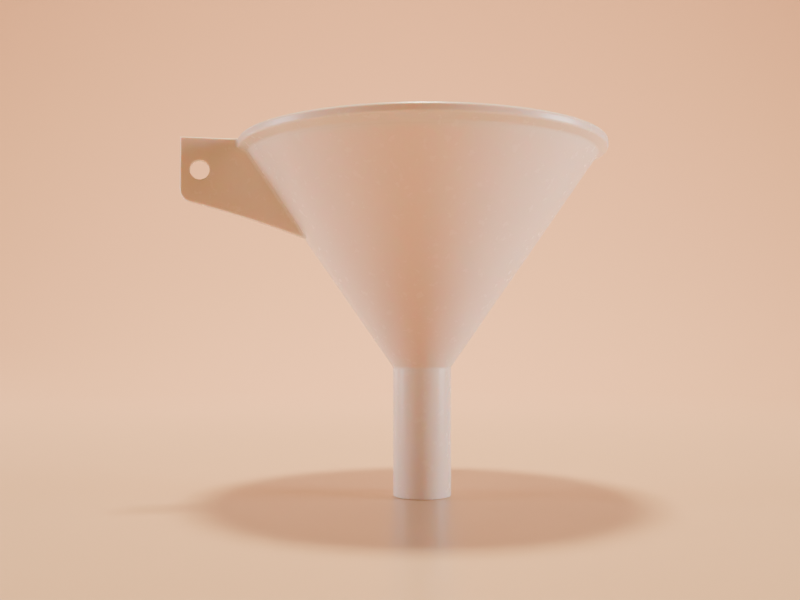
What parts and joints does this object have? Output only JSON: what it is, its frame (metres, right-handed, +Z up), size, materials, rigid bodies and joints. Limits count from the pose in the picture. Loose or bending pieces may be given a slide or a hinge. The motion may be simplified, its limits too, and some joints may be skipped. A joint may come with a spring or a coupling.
{
  "type": "filling funnel",
  "caption": "Small conical kitchen funnel with a straight narrow stem, a collar round the mouth and a flat side tab with a hanging hole.",
  "frame": {"origin": "middle of the bounding box's base, on the plane that the stem's tip stands on; the stem's axis is parallel to +Z and passes 8 mm along +X from the origin", "axes": "+Z up along the stem's axis, towards the mouth; the hanging tab points along -X; Y is square to the tab's faces, and the part is symmetric about the XZ plane"},
  "size_m": [0.126, 0.11, 0.1046],
  "materials": {
    "milky_plastic": "satin, slightly translucent natural polypropylene"
  },
  "bodies": {
    "root": {"spout": "milky_plastic", "cone_wall": "milky_plastic", "rim_bead": "milky_plastic", "hang_tab": "milky_plastic"}
  },
  "joints": []
}
